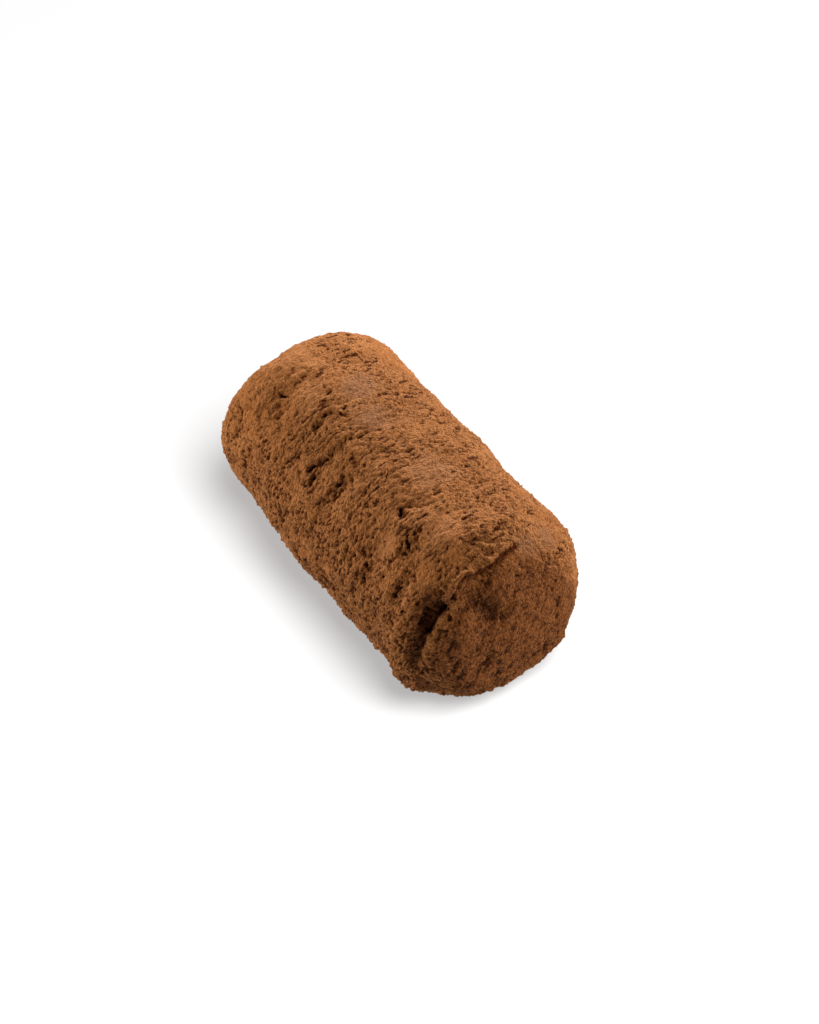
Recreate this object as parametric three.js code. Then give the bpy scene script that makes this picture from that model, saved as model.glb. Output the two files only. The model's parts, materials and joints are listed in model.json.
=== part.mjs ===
// A hand-rolled chocolate truffle log, dusted with cocoa and lying on its side.
// Millimetres. X runs along the log towards its cut end, Z is up, and the base rests on Z = 0.
// The shape starts as a finely divided box. Each vertex is wrapped onto a rounded log, and the
// swells, clods, crags and folds of the cocoa crust then push it in or out.

import * as THREE from 'three';
import { ImprovedNoise } from 'three/addons/math/ImprovedNoise.js';
import { mergeVertices } from 'three/addons/utils/BufferGeometryUtils.js';

// The log
const LENGTH = 40.3; // from the middle of one end to the middle of the other
const WIDTH = 22; // across the middle of the log
const CROWN = 10.6; // from its widest level up to the top
const KEEL = 9.9; // from its widest level down to the unpressed underside
const PRESSED_FLAT = 0.6; // how much of the underside its own weight has flattened
const TAPER = 0.042; // gain in thickness from the far end to the cut end
const SLUMP = -0.018; // sideways lean of the section for each millimetre of height

// The ends: a rounded rim, a domed face, and how the face leans with height and with width
const CUT_END = { rim: 4.9, dome: 2.05, lean: -0.096, swing: -0.014 };
const FAR_END = { rim: 3.1, dome: 0.4, lean: 0.024, swing: 0.036 };

// The mesh
const STEPS_ALONG = 50;
const STEPS_ACROSS = 22;

// Relief of the crust: the size of a lump, how much longer it is round the log, and its height
const SWELLS = { size: 6.5, stretch: 1.3, height: 0.3, seed: 3.7 };
const CLODS = { size: 1.9, stretch: 1.5, height: 0.32, seed: 11.3 };
const CLOD_FLANK = 150; // degrees: the side of the log where the clods are coarsest
const CLOD_CALM = 0.45; // share of their height that the clods keep on the opposite side
const FACE_CALM = 0.35; // share that they keep on the cut face

// Bulges and hollows left by rolling: place along the log and round it (degrees from +Y towards
// +Z), length round the log, width along it, and height (a hollow is negative)
const BULGES = [
  { x: -3.5, angle: 190, length: 10, width: 8, height: 0.55 },
  { x: 10.5, angle: 190, length: 10, width: 7, height: -0.4 },
  { x: -11.5, angle: 190, length: 9, width: 5, height: -0.35 },
  { x: -17.5, angle: 148, length: 8, width: 6, height: 0.35 },
  { x: -16.5, angle: 186, length: 8, width: 5, height: -0.4 },
  { x: 5.5, angle: 184, length: 6, width: 5, height: -0.25 },
  { x: 15.6, angle: 209, length: 5, width: 4, height: 0.55 },
  { x: 0.2, angle: 28, length: 5, width: 3.5, height: 0.3 },
  { x: -18.5, angle: 112, length: 6, width: 4, height: -0.25 },
  { x: 11.5, angle: 29, length: 9, width: 5, height: 0.2 },
  { x: -6.0, angle: 27, length: 8, width: 5, height: -0.2 },
  { x: 17.5, angle: 310, length: 8, width: 5, height: 0.35 },
];

// Crags torn out of the crust, in the same terms
const CRAGS = [
  { x: -12.2, angle: 129, length: 2.2, width: 1.2, height: -0.5 },
  { x: -7.6, angle: 117, length: 3.0, width: 1.2, height: -0.4 },
  { x: -9.4, angle: 129, length: 2.0, width: 1.2, height: -0.35 },
  { x: -16.2, angle: 152, length: 3.4, width: 1.5, height: -0.45 },
  { x: -13.9, angle: 119, length: 3.0, width: 1.1, height: -0.35 },
  { x: -6.6, angle: 137, length: 2.8, width: 1.2, height: -0.45 },
  { x: -3.9, angle: 127, length: 4.6, width: 1.2, height: -0.8 },
  { x: -3.0, angle: 138, length: 2.6, width: 1.3, height: -0.7 },
  { x: 0.0, angle: 128, length: 2.8, width: 1.2, height: -0.8 },
  { x: -0.5, angle: 142, length: 2.4, width: 1.4, height: -0.8 },
  { x: 6.8, angle: 146, length: 2.6, width: 1.3, height: -0.5 },
  { x: 8.7, angle: 147, length: 4.2, width: 1.4, height: -0.8 },
  { x: 11.4, angle: 124, length: 3.0, width: 1.2, height: -0.7 },
  { x: 13.5, angle: 144, length: 3.4, width: 1.4, height: -0.9 },
  { x: 12.6, angle: 147, length: 3.0, width: 1.6, height: 0.4 },
  { x: -3.2, angle: 99, length: 3.4, width: 1.1, height: -0.35 },
  { x: 14.0, angle: 53, length: 2.4, width: 1.2, height: -0.35 },
  { x: -11.0, angle: 26, length: 4.0, width: 2.0, height: -0.3 },
  { x: 5.5, angle: 250, length: 3.5, width: 1.5, height: -0.5 },
  { x: -8.5, angle: 330, length: 3.8, width: 1.4, height: -0.6 },
  { x: 2.5, angle: 345, length: 3.0, width: 1.3, height: -0.5 },
  { x: 9.5, angle: 318, length: 3.4, width: 1.4, height: -0.5 },
];

// Dents in the cut face: place across it, size and depth
const DENTS = [
  { y: -2.6, z: 14.4, size: 1.9, depth: 0.4 },
  { y: 4.5, z: 4.8, size: 1.1, depth: 0.45 },
  { y: 2.0, z: 16.1, size: 0.9, depth: 0.25 },
];

// Folds that follow the rim of the cut face: distance from the middle of the face over the
// surface, the stretch of rim they follow, their width, and their height (a crease is negative)
const FOLDS = [
  { reach: 9.5, from: 128, to: 154, width: 0.9, height: -0.9 },
  { reach: 9.7, from: 150, to: 214, width: 0.8, height: -0.4 },
  { reach: 11.5, from: 140, to: 216, width: 1.3, height: 0.3 },
  { reach: 10.4, from: 98, to: 130, width: 0.9, height: 0.3 },
  { reach: 12.6, from: 66, to: 104, width: 0.9, height: 0.22 },
];
const FOLD_FADE = 9; // degrees over which a fold starts and stops

// The cocoa crust
const COCOA = { color: 0x8a5a34, roughness: 0.95, metalness: 0 };

const HALF = LENGTH / 2;
const RADIUS = WIDTH / 2;
const noise = new ImprovedNoise();

/** A smooth hill: 1 at distance 0, falling to nothing past about twice the width. */
const hill = (distance, width) => Math.exp(-((distance / width) ** 2));

/** The signed gap between two angles in degrees. */
const turnBetween = (a, b) => THREE.MathUtils.euclideanModulo(a - b + 180, 360) - 180;

/** Moves a vertex of the box to a disc (a, b) for its place in the section, |a, b| <= 1. */
function onDisc(v, w) {
  return { a: v * Math.sqrt(1 - (w * w) / 2), b: w * Math.sqrt(1 - (v * v) / 2) };
}

/** Follows the outline of half the log from the middle of one end's face, by box position. */
function alongOutline(u, rho, end) {
  const cornerReach = RADIUS - end.rim + (Math.PI / 4) * end.rim;
  const sideReach = HALF - end.dome - end.rim + (Math.PI / 4) * end.rim;
  const reach = rho < 1 ? rho * cornerReach : cornerReach + (1 - Math.abs(u)) * sideReach;
  const bend = THREE.MathUtils.clamp((reach - RADIUS + end.rim) / end.rim, 0, Math.PI / 2);
  const onFace = Math.min(reach, RADIUS - end.rim);
  const onSide = Math.max(reach - RADIUS + end.rim - (Math.PI / 2) * end.rim, 0);
  return {
    reach,
    bend,
    spread: (onFace + end.rim * Math.sin(bend)) / RADIUS,
    setBack: end.rim * (1 - Math.cos(bend)) + onSide,
  };
}

/** Height of the swells and clods of the crust at a point on the log. */
function crustRelief(x, y, z, angle, faceShare) {
  const sample = ({ size, stretch, height, seed }) => {
    const across = size * stretch;
    return height * noise.noise(x / size + seed, y / across - seed, z / across + seed);
  };
  const turned = THREE.MathUtils.degToRad(angle - CLOD_FLANK);
  const flank = THREE.MathUtils.lerp(CLOD_CALM, 1, (1 + Math.cos(turned)) / 2);
  const calm = THREE.MathUtils.lerp(flank, FACE_CALM, faceShare);
  return sample(SWELLS) + calm * sample(CLODS);
}

/** Summed height of a list of bulges or crags at a place on the side of the log. */
function markHeight(marks, x, angle) {
  return marks.reduce((height, mark) => {
    const around = THREE.MathUtils.degToRad(turnBetween(angle, mark.angle)) * RADIUS;
    const share = hill(x - mark.x, mark.width / 2) * hill(around, mark.length / 2);
    return height + mark.height * share;
  }, 0);
}

/** Depth of the dents at a place on the cut face. */
function dentDepth(y, z) {
  return DENTS.reduce(
    (depth, dent) => depth + dent.depth * hill(Math.hypot(y - dent.y, z - dent.z), dent.size / 2),
    0,
  );
}

/** Height of the folds round the rim of the cut face. */
function foldHeight(reach, angle) {
  return FOLDS.reduce((height, fold) => {
    const middle = (fold.from + fold.to) / 2;
    const past = Math.abs(turnBetween(angle, middle)) - (fold.to - fold.from) / 2;
    const share = 1 - THREE.MathUtils.smoothstep(past, -FOLD_FADE / 2, FOLD_FADE / 2);
    return height + fold.height * share * hill(reach - fold.reach, fold.width);
  }, 0);
}

/** Wraps one vertex of the box, with coordinates from -1 to 1, onto the log. */
function wrap(vertex) {
  const { x: u, y: v, z: w } = vertex;
  const towards = u >= 0 ? 1 : -1;
  const end = u >= 0 ? CUT_END : FAR_END;
  const { a, b } = onDisc(v, w);
  const rho = Math.abs(u) < 1 ? 1 : Math.min(Math.hypot(a, b), 1);
  const angle = THREE.MathUtils.radToDeg(Math.atan2(b, a));
  const { reach, bend, spread, setBack } = alongOutline(u, rho, end);

  const along = towards * (HALF - end.dome * spread * spread - setBack);
  const girth = 1 + (TAPER * along) / LENGTH;
  const length = Math.hypot(a, b) || 1;
  const middle = KEEL * girth - PRESSED_FLAT;
  const side = (RADIUS * girth * spread * a) / length;
  const rise = ((b > 0 ? CROWN : KEEL) * girth * spread * b) / length;
  const share = (along / HALF) ** 2;
  const y = side + SLUMP * rise;
  const x = along + share * (end.lean * rise + end.swing * y);

  const onFace = Math.cos(bend);
  let push = crustRelief(x, y, rise, angle, u > 0 ? onFace : 0);
  push += markHeight(BULGES, along, angle) * spread;
  push += markHeight(CRAGS, along, angle) * (1 - onFace);
  if (u > 0) push += foldHeight(reach, angle) - onFace * dentDepth(y, middle + rise);
  const outwards = (push * Math.sin(bend)) / length;
  vertex.set(
    x + towards * push * onFace,
    y + outwards * a,
    Math.max(middle + rise + outwards * b, 0),
  );
}

/** The whole truffle as one closed skin, with the origin under the middle of its box. */
function truffleGeometry() {
  const box = new THREE.BoxGeometry(2, 2, 2, STEPS_ALONG, STEPS_ACROSS, STEPS_ACROSS);
  box.deleteAttribute('normal');
  box.deleteAttribute('uv');
  const geometry = mergeVertices(box);
  const { position } = geometry.attributes;
  const vertex = new THREE.Vector3();
  for (let i = 0; i < position.count; i += 1) {
    vertex.fromBufferAttribute(position, i);
    wrap(vertex);
    position.setXYZ(i, vertex.x, vertex.y, vertex.z);
  }
  geometry.computeBoundingBox();
  const centre = geometry.boundingBox.getCenter(new THREE.Vector3());
  geometry.translate(-centre.x, -centre.y, 0);
  geometry.computeVertexNormals();
  return geometry;
}

const truffle = new THREE.Mesh(truffleGeometry(), new THREE.MeshStandardMaterial(COCOA));
truffle.name = 'truffle';

const model = new THREE.Group();
model.add(truffle);

export default model;
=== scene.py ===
"""A cocoa-dusted chocolate truffle log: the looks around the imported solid.

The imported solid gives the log's form. A finer copy of it takes the relief of the crust: clods,
flakes, holes, folds, and marks such as pits, cracks, lips and the patches that fingers pressed
smooth. Loose crumbs of cocoa lie on it, of four kinds.

Objects are in metres and arrays of places in millimetres, both in the solid's own frame: X along
the log towards its cut end, Z up.
"""

import json
import logging
import math
from dataclasses import dataclass, field
from enum import Enum
from typing import Iterable, Sequence

import bmesh
import bpy
import numpy as np
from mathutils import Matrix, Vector
from mathutils.bvhtree import BVHTree

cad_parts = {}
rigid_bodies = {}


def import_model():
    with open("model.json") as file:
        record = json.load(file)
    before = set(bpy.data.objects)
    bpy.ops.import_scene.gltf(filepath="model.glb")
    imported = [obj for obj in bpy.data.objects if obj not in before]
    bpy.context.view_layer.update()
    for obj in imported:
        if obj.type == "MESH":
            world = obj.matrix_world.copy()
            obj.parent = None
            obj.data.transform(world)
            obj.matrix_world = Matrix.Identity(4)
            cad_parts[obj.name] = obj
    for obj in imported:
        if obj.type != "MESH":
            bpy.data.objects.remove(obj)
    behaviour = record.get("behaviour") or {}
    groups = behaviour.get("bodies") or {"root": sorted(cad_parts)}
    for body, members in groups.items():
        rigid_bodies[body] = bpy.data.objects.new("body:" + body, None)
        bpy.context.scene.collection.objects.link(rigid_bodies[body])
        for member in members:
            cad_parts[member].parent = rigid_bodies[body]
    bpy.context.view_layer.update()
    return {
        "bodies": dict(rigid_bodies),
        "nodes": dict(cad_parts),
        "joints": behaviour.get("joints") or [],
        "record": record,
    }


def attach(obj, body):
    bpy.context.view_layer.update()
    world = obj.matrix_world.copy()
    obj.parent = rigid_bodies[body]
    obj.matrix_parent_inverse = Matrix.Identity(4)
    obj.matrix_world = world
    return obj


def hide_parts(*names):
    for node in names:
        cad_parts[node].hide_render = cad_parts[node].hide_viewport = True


LOG = logging.getLogger("truffle")
MM = 0.001
SEED = 4210

Pixel = tuple[float, float]
Span = tuple[float, float]
Triple = tuple[float, float, float]
Colour = tuple[float, float, float]
WHITE = (1.0, 1.0, 1.0, 1.0)


def direction(azimuth: float, elevation: float) -> Vector:
    """Gives the direction of what stands round the truffle.

    Args:
        azimuth: Degrees round it, from -Y towards +X.
        elevation: Degrees up from the table.

    Returns:
        A unit vector away from the truffle.
    """
    turn, tilt = math.radians(azimuth), math.radians(elevation)
    level = math.cos(tilt)
    return Vector((math.sin(turn) * level, -math.cos(turn) * level, math.sin(tilt)))


# --------------------------------------------------------------------------------------------
# The camera
# --------------------------------------------------------------------------------------------


@dataclass(frozen=True)
class Lens:
    """The camera, and the lines of sight that it gives to places on the crust.

    Attributes:
        aim: The place that it looks at.
        azimuth: Where it stands, in degrees.
        elevation: How high it stands, in degrees.
        distance: How far from its aim it stands.
        focal_pixels: Its focal length in pixels.
        frame: The frame's width and height in pixels, which count from its upper left corner.
        sensor: The sensor's height, in the units of a camera's lens.
        near: Where its view begins, as a share of the distance.
        far: Where its view ends, as a share of the distance.
    """

    aim: Triple = (0.159 * MM, 0.692 * MM, 9.5 * MM)
    azimuth: float = 57.0
    elevation: float = 47.0
    distance: float = 323.4 * MM
    focal_pixels: float = 3197.0
    frame: Span = (819.0, 1024.0)
    sensor: float = 36.0
    near: float = 0.1
    far: float = 50.0

    def axes(self) -> tuple[Vector, Vector, Vector]:
        """Gives the camera's right, up and backward directions."""
        back, right = direction(self.azimuth, self.elevation), direction(self.azimuth + 90, 0)
        return right, back.cross(right), back

    def eye(self) -> Vector:
        """Gives where the camera stands."""
        return Vector(self.aim) + self.distance * self.axes()[2]

    def sight(self, pixel: Pixel) -> Vector:
        """Gives the direction from the camera through a pixel.

        Args:
            pixel: The pixel's place in the frame.

        Returns:
            A unit vector away from the camera.
        """
        right, up, back = self.axes()
        across = (pixel[0] - self.frame[0] / 2) / self.focal_pixels
        down = (pixel[1] - self.frame[1] / 2) / self.focal_pixels
        return (right * across - up * down - back).normalized()

    def build(self) -> bpy.types.Object:
        """Adds the camera to the scene and makes it the scene's own.

        Returns:
            The camera.
        """
        data = bpy.data.cameras.new("camera")
        data.sensor_fit = "VERTICAL"
        data.sensor_height = self.sensor
        data.lens = self.focal_pixels * self.sensor / self.frame[1]
        data.clip_start = self.distance * self.near
        data.clip_end = self.distance * self.far
        camera = bpy.data.objects.new("camera", data)
        camera.location = self.eye()
        camera.rotation_euler = self.axes()[2].to_track_quat("Z", "Y").to_euler()
        bpy.context.scene.collection.objects.link(camera)
        bpy.context.scene.camera = camera
        return camera


# --------------------------------------------------------------------------------------------
# Noise on arrays of points
# --------------------------------------------------------------------------------------------


def mixed(cells: np.ndarray, seed: int) -> np.ndarray:
    """Gives three numbers in 0..1 for each integer cell, the same on every run.

    Args:
        cells: An array (..., 3) of whole numbers.
        seed: Which set of numbers to give.

    Returns:
        An array (..., 3).
    """
    gain, step, half = np.uint32(1664525), np.uint32(1013904223), np.uint32(16)
    apart = 7919 * (seed + 1)
    v = (cells.astype(np.int64) + apart).astype(np.uint32) * gain + step
    for last in (False, True):
        v[..., 0] += v[..., 1] * v[..., 2]
        v[..., 1] += v[..., 2] * v[..., 0]
        v[..., 2] += v[..., 0] * v[..., 1]
        if not last:
            v ^= v >> half
    return v / 2.0**32


WAVE_HEIGHT = 1.6  # brings the waves to a height of about 1


def waves(points: np.ndarray, size: float, seed: int) -> np.ndarray:
    """Makes smooth gradient noise.

    Args:
        points: An array (n, 3) of places in millimetres.
        size: The size of one wave in millimetres.
        seed: Which pattern.

    Returns:
        An array (n,), about -1 to 1.
    """
    at = points / size
    low = np.floor(at)
    part = at - low
    ease = part * part * part * (part * (part * 6 - 15) + 10)
    total = np.zeros(len(points))
    for corner in np.ndindex(2, 2, 2):
        off = np.array(corner)
        slope = mixed(low + off, seed) * 2 - 1
        weight = np.prod(np.where(off == 1, ease, 1 - ease), axis=1)
        total += weight * np.einsum("ij,ij->i", slope, part - off)
    return total * WAVE_HEIGHT


def rough(points: np.ndarray, size: float, seed: int, octaves: int = 3) -> np.ndarray:
    """Adds up waves of halving size, for an uneven surface.

    Args:
        points: An array (n, 3) of places in millimetres.
        size: The size of the broadest waves in millimetres.
        seed: Which pattern.
        octaves: How many sizes of waves there are.

    Returns:
        An array (n,), about -1 to 1.
    """
    levels = range(octaves)
    total = sum(waves(points, size / 2**k, seed + k) / 2**k for k in levels)
    return total / sum(0.5**k for k in levels)


def ramp(value: np.ndarray, low: float, high: float) -> np.ndarray:
    """Eases from 0 at low to 1 at high; low may be the larger."""
    t = np.clip((value - low) / (high - low), 0, 1)
    return t * t * (3 - 2 * t)


@dataclass(frozen=True)
class Texture:
    """One pattern of noise, and what it does to the crust.

    Attributes:
        size: The size of its broadest waves in millimetres.
        seed: Which pattern.
        height: How far it moves the crust in millimetres, or how much it changes what uses it.
        octaves: How many sizes of waves it has, each half as broad as the last.
        edge: The strengths of noise at which the thing that it makes begins and is whole.
        pressed: The share of it that pressing takes away.
        squeeze: How many times shorter its waves are along the log than round it.
        shade: How much shade it paints in its deepest places, from 0 to 1.
    """

    size: float
    seed: int
    height: float = 1.0
    octaves: int = 1
    edge: Span = (0.0, 1.0)
    pressed: float = 0.0
    squeeze: float = 1.0
    shade: float = 1.0

    def over(self, points: np.ndarray, bend: np.ndarray | float = 0.0) -> np.ndarray:
        """Gives the noise at each point, from about -1 to 1, with the points moved by a bend."""
        places = points * (self.squeeze, 1.0, 1.0) + bend
        return rough(places, self.size, self.seed, self.octaves)

    def spots(self, noise: np.ndarray) -> np.ndarray:
        """Gives how whole the thing that it makes is, from 0 to 1, for a strength of noise."""
        return ramp(noise, *self.edge)

    def kept(self, smooth: np.ndarray) -> np.ndarray:
        """Gives the share of it that is left where the crust is pressed smooth."""
        return 1 - self.pressed * smooth


# --------------------------------------------------------------------------------------------
# Marks on the crust
# --------------------------------------------------------------------------------------------


class Kind(Enum):
    """What a mark does to the crust."""

    PIT = "a hole where a crumb has come away"
    CRACK = "a line where the crust has split"
    LUMP = "a raised crumb of crust"
    EDGE = "a ragged lip, above and to the left of a line"
    DENT = "a soft hollow"
    PRESSED = "a patch that fingers pressed smooth"


@dataclass(frozen=True)
class Mark:
    """One mark, placed by the line of sight through one or more pixels.

    Attributes:
        kind: What it does.
        at: The pixels that it passes through; one for a round mark.
        width: How wide it is across, in millimetres.
        height: How deep it goes, or how high it stands, in millimetres; for a pressed patch,
            the share of its colour that is rubbed off.
    """

    kind: Kind
    at: tuple[Pixel, ...]
    width: float
    height: float


def pit(x: float, y: float, width: float = 0.55, height: float = 0.4) -> Mark:
    """A round pit at a pixel."""
    return Mark(Kind.PIT, ((x, y),), width, height)


def crack(*at: Pixel, width: float = 0.3, height: float = 0.3) -> Mark:
    """A crack through some pixels."""
    return Mark(Kind.CRACK, at, width, height)


def lump(*at: Pixel, width: float = 0.9, height: float = 0.35) -> Mark:
    """A raised lump or ridge through some pixels."""
    return Mark(Kind.LUMP, at, width, height)


def edge(*at: Pixel, width: float = 0.9, height: float = 0.3) -> Mark:
    """A lip of crust on the left of a line through some pixels."""
    return Mark(Kind.EDGE, at, width, height)


def dent(*at: Pixel, width: float = 3.0, height: float = 0.3) -> Mark:
    """A soft hollow through some pixels."""
    return Mark(Kind.DENT, at, width, height)


def pressed(x: float, y: float, width: float = 4.0, rubbed: float = 0.3) -> Mark:
    """A patch pressed smooth round a pixel, and rubbed to another colour by a share."""
    return Mark(Kind.PRESSED, ((x, y),), width, rubbed)


SEEN_MARKS: tuple[Mark, ...] = (
    # Pits on the far shoulder
    pit(277, 418, 0.45, 0.35),
    pit(283, 420, 0.35, 0.3),
    pit(291, 417, 0.36, 0.3),
    pit(313, 425, 0.38, 0.35),
    pit(318, 427, 0.4, 0.35),
    pit(326, 428, 0.35, 0.3),
    pit(309, 433, 0.4, 0.3),
    pit(289, 434, 0.4, 0.3),
    pit(236, 406, 0.38, 0.25),
    pit(248, 440, 0.4, 0.35),
    pit(262, 446, 0.4, 0.3),
    pit(297, 456, 0.42, 0.35),
    pit(291, 464, 0.42, 0.35),
    crack((240, 428), (235, 433), (233, 438), width=0.35, height=0.3),
    crack((281, 395), (288, 396), width=0.25, height=0.3),
    pit(274, 393, 0.35, 0.3),
    # Deep creases along the middle of the left flank
    crack((309, 470), (312, 466), width=0.5, height=0.5),
    crack((313, 466), (320, 464), (327, 459), width=0.38, height=0.5),
    crack((314, 476), (311, 481), (308, 486), width=0.36, height=0.5),
    crack((341, 483), (337, 486), width=0.42, height=0.5),
    crack((336, 488), (334, 494), width=0.35, height=0.45),
    pit(343, 497, 0.45, 0.3),
    pit(319, 503, 0.5, 0.45),
    pit(324, 500, 0.4, 0.4),
    pit(330, 509, 0.35, 0.35),
    pit(342, 503, 0.3, 0.3),
    pit(365, 503, 0.35, 0.4),
    pit(375, 528, 0.4, 0.45),
    pit(372, 538, 0.3, 0.3),
    pit(339, 530, 0.4, 0.35),
    pit(345, 526, 0.35, 0.3),
    pit(354, 555, 0.4, 0.35),
    crack((371, 546), (369, 552), (369, 558), width=0.28, height=0.35),
    crack((341, 528), (338, 534), width=0.35, height=0.4),
    crack((366, 563), (366, 568), width=0.34, height=0.4),
    crack((364, 573), (363, 582), width=0.3, height=0.4),
    crack((408, 534), (407, 541), (409, 548), width=0.22, height=0.25),
    pit(405, 554, 0.42, 0.4),
    pit(398, 556, 0.3, 0.25),
    pit(390, 561, 0.3, 0.3),
    crack((399, 586), (397, 592), (393, 598), width=0.32, height=0.45),
    crack((316, 572), (326, 581), (337, 591), width=0.7, height=0.35),
    lump((391, 588), (387, 593), width=1.1, height=0.3),
    pit(373, 591, 0.35, 0.3),
    # Cracks along the top
    crack((349, 438), (355, 437), width=0.3, height=0.3),
    crack((358, 437), (366, 432), width=0.22, height=0.25),
    crack((358, 444), (364, 444), width=0.3, height=0.25),
    crack((325, 415), (333, 412), (340, 413), width=0.22, height=0.2),
    crack((341, 409), (347, 405), width=0.22, height=0.2),
    pit(383, 442, 0.35, 0.35),
    pit(369, 382, 0.3, 0.25),
    pit(345, 352, 0.3, 0.25),
    pit(345, 367, 0.3, 0.2),
    crack((437, 441), (447, 441), width=0.25, height=0.2),
    pit(485, 451, 0.3, 0.2),
    pit(494, 490, 0.35, 0.2),
    crack((528, 511), (534, 513), width=0.5, height=0.25),
    crack((502, 521), (505, 525), (510, 522), width=0.25, height=0.2),
    pit(553, 528, 0.4, 0.3),
    crack((428, 386), (434, 393), width=0.5, height=0.3),
    pit(481, 441, 0.5, 0.3),
    crack((408, 507), (414, 505), (420, 506), (426, 504), width=0.24, height=0.25),
    crack((400, 508), (400, 516), width=0.25, height=0.25),
    crack((472, 540), (481, 540), (490, 542), (499, 541), (507, 541), width=0.24, height=0.25),
    lump((478, 543), (488, 545), (500, 544), width=0.5, height=0.12),
    # The lip and the fold at the left of the cut face
    edge(
        (446, 602), (453, 590), (457, 581), (465, 576), (474, 572), (490, 563), width=0.45, height=0.5
    ),
    edge((490, 563), (498, 557), (505, 551), (514, 544), width=0.5, height=0.35),
    dent((440, 606), (432, 613), (426, 624), (420, 642), (414, 662), width=1.4, height=0.5),
    dent((432, 608), (427, 616), width=1.2, height=0.3),
    crack((446, 602), (439, 610), (433, 619), (427, 632), width=0.55, height=0.5),
    pit(429, 611, 0.6, 0.35),
    pit(424, 623, 0.5, 0.35),
    crack((425, 640), (420, 652), (417, 662), width=0.3, height=0.25),
    lump((442, 620), (434, 636), (428, 650), (422, 661), width=0.45, height=0.22),
    lump((445, 603), (449, 600), (455, 605), width=0.5, height=0.55),
    lump((449, 596), (454, 589), width=0.5, height=0.45),
    lump((456, 584), (459, 577), (464, 573), (473, 571), width=0.5, height=0.42),
    crack((458, 609), (465, 611), width=0.3, height=0.25),
    lump((400, 624), (396, 628), (400, 632), (405, 629), width=0.6, height=0.25),
    # The cut face
    dent((478, 603), (486, 611), (493, 617), width=2.6, height=0.6),
    dent((466, 590), (474, 584), (486, 573), width=1.4, height=0.2),
    lump((506, 582), (512, 604), width=3.0, height=0.25),
    lump((470, 624), (462, 650), width=2.0, height=0.16),
    lump((540, 600), (532, 640), width=2.6, height=0.1),
    dent((540, 655), (520, 672), width=2.0, height=0.25),
    pit(518, 576, 0.6, 0.4),
    pit(550, 558, 0.5, 0.35),
    pit(550, 597, 0.4, 0.3),
    pit(536, 619, 0.5, 0.35),
    crack((547, 644), (545, 652), width=0.75, height=0.5),
    crack((545, 655), (542, 664), width=0.4, height=0.35),
    pit(578, 577, 0.6, 0.4),
    pit(505, 570, 0.35, 0.25),
    pit(562, 579, 0.4, 0.3),
    pit(525, 640, 0.4, 0.25),
    pit(500, 655, 0.4, 0.25),
    # Patches pressed smooth
    pressed(305, 395, 3.5),
    pressed(300, 355, 4.0),
    pressed(360, 385, 4.5, 1.0),
    pressed(372, 415, 4.5, 0.9),
    pressed(430, 470, 5.0, 0.7),
    pressed(440, 525, 4.5),
    pressed(385, 545, 3.0),
    pressed(425, 572, 2.6, 0.0),
    pressed(455, 556, 2.4, 0.0),
    pressed(305, 550, 2.6, 0.0),
    pressed(324, 571, 2.4, 0.0),
    pressed(528, 546, 3.4, 1.0),
    pressed(548, 537, 3.0, 1.0),
)


# How a lip stands over the crust on its right, and the shade painted under it: places in
# millimetres to the left of its line, and shares of its height
LIP_EASE = 0.12
LIP_TORN = 0.42
LIP_DROP = 0.6
LIP_FULL_SHADE = 0.35
UNDER_EASE = 0.1
SHADE_NEAR, NEAR_SHARE = (-0.95, -0.15), 0.6
SHADE_WIDE, WIDE_SHARE = (-2.6, -0.5), 0.12
# How much of the painted shade a lump clears, and how much shade is painted in a dent for its depth
# in millimetres
LUMP_CLEARS = 0.8
DENT_SHADE = 1.3
# How a pit or a crack is cut: its least width and the depth at which its painted shade is full, in
# millimetres, how far its walls are torn, and the shares of its half width that they lie at
LEAST_WIDTH = 0.32
PIT_FULL_SHADE = 0.4
PIT_TORN = 0.9
PIT_WALL = (1.15, 0.3)


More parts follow.
